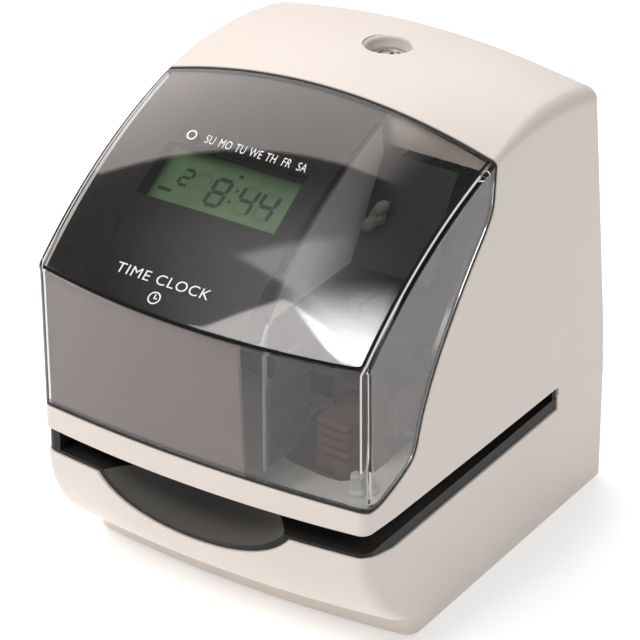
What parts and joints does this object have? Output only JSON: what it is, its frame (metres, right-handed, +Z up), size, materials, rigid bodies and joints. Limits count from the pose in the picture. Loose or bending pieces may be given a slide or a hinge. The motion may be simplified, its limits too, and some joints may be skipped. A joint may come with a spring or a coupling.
{
  "type": "punch time clock",
  "caption": "Desktop electronic time recorder with a smoked window, a display and a document slot; its locked cover lifts off a printing mechanism.",
  "frame": {"origin": "middle of the underside of the bounding box, on the surface that the feet stand on", "axes": "+Z up, -Y to the front where the window faces, +X to the side where the document slot is open"},
  "size_m": [0.15, 0.1907, 0.1967],
  "materials": {
    "cream_plastic": "fine moulded grain, satin",
    "black_plastic": "satin",
    "smoked_window": "clear smoked acrylic, polished",
    "grey_plastic": "satin",
    "lcd_glass": "green liquid crystal cell",
    "circuit_board": "solder mask",
    "battery_sleeve": "shrink sleeve",
    "zinc_steel": "zinc plated",
    "lock_chrome": "bright",
    "brass": "turned",
    "dark_metal": "black cast",
    "rubber": "matt",
    "ink_ribbon": "woven nylon, inked"
  },
  "bodies": {
    "base": {"base_shell": "cream_plastic", "document_table": "black_plastic", "platen": "rubber", "bottom_plate": "zinc_steel", "foot_front_left": "rubber", "foot_front_right": "rubber", "foot_rear_left": "rubber", "foot_rear_right": "rubber", "bottom_screw_1": "zinc_steel", "bottom_screw_2": "zinc_steel", "bottom_screw_3": "zinc_steel", "bottom_screw_4": "zinc_steel", "power_inlet": "black_plastic", "inlet_pin": "zinc_steel", "chassis": "zinc_steel", "throat_guide": "black_plastic", "ribbon_deck": "grey_plastic", "deck_post": "grey_plastic", "lcd_frame": "black_plastic", "lcd_glass": "lcd_glass", "lcd_board": "circuit_board", "main_board": "circuit_board", "battery_pack": "battery_sleeve", "switch_board": "circuit_board", "switch_bracket": "zinc_steel", "guide_rod_front": "zinc_steel", "guide_rod_rear": "zinc_steel", "drive_belt": "rubber", "idler_pin": "zinc_steel", "drive_motor": "dark_metal", "pulley_bridge": "zinc_steel", "ribbon_cassette": "black_plastic", "mechanism_shroud": "black_plastic", "ink_ribbon": "ink_ribbon", "lever_pin": "zinc_steel", "lock_catch": "zinc_steel"},
    "cover": {"top_cover": "cream_plastic", "window": "smoked_window", "window_seal": "black_plastic", "display_panel": "black_plastic", "front_screen": "grey_plastic", "divider_wall": "grey_plastic", "lock_barrel": "lock_chrome", "lock_nut": "brass"},
    "lock": {"lock_plug": "lock_chrome", "lock_cam": "zinc_steel"},
    "carriage": {"print_carriage": "black_plastic", "print_head": "dark_metal"},
    "drive_wheel": {"drive_pulley": "brass"},
    "idler_wheel": {"idler_pulley": "brass"},
    "ribbon_wheel": {"ribbon_knob": "grey_plastic"},
    "sensor": {"card_lever": "grey_plastic"},
    "button_1": {"set_button_1": "grey_plastic"},
    "button_2": {"set_button_2": "grey_plastic"},
    "button_3": {"set_button_3": "grey_plastic"}
  },
  "joints": [
    {"name": "cover_lift", "type": "slide", "parent": "base", "child": "cover", "axis": [0, 0, 1], "range_m": [0, 0.14]},
    {"name": "lock_turn", "type": "hinge", "parent": "cover", "child": "lock", "pos_m": [0, 0.046, 0.18], "axis": [0, 0, 1], "range_deg": [0, 90]},
    {"name": "carriage_travel", "type": "slide", "parent": "base", "child": "carriage", "axis": [-1, 0, 0], "range_m": [0, 0.02]},
    {"name": "drive_spin", "type": "hinge", "parent": "base", "child": "drive_wheel", "pos_m": [-0.046, 0.012, 0.1], "axis": [0, 0, 1], "range_deg": [-155, 0]},
    {"name": "idler_spin", "type": "hinge", "parent": "base", "child": "idler_wheel", "pos_m": [0.052, 0.012, 0.1], "axis": [0, 0, 1], "range_deg": [-155, 0]},
    {"name": "knob_turn", "type": "hinge", "parent": "base", "child": "ribbon_wheel", "pos_m": [0.044, -0.036, 0.13], "axis": [0, 0, 1], "continuous": true},
    {"name": "lever_swing", "type": "hinge", "parent": "base", "child": "sensor", "pos_m": [0.004, 0.046, 0.075], "axis": [1, 0, 0], "range_deg": [0, 15], "stiffness_Nm_per_rad": 0.002, "springref_deg": -5.73},
    {"name": "button_1_press", "type": "slide", "parent": "base", "child": "button_1", "axis": [0, 0, -1], "range_m": [0, 0.001], "stiffness_N_per_m": 300, "springref_m": -0.001},
    {"name": "button_2_press", "type": "slide", "parent": "base", "child": "button_2", "axis": [0, 0, -1], "range_m": [0, 0.001], "stiffness_N_per_m": 300, "springref_m": -0.001},
    {"name": "button_3_press", "type": "slide", "parent": "base", "child": "button_3", "axis": [0, 0, -1], "range_m": [0, 0.001], "stiffness_N_per_m": 300, "springref_m": -0.001}
  ],
  "couplings": [
    {"joint": "drive_spin", "follows": "carriage_travel", "rad_per_m": -130.7},
    {"joint": "idler_spin", "follows": "carriage_travel", "rad_per_m": -130.7}
  ]
}
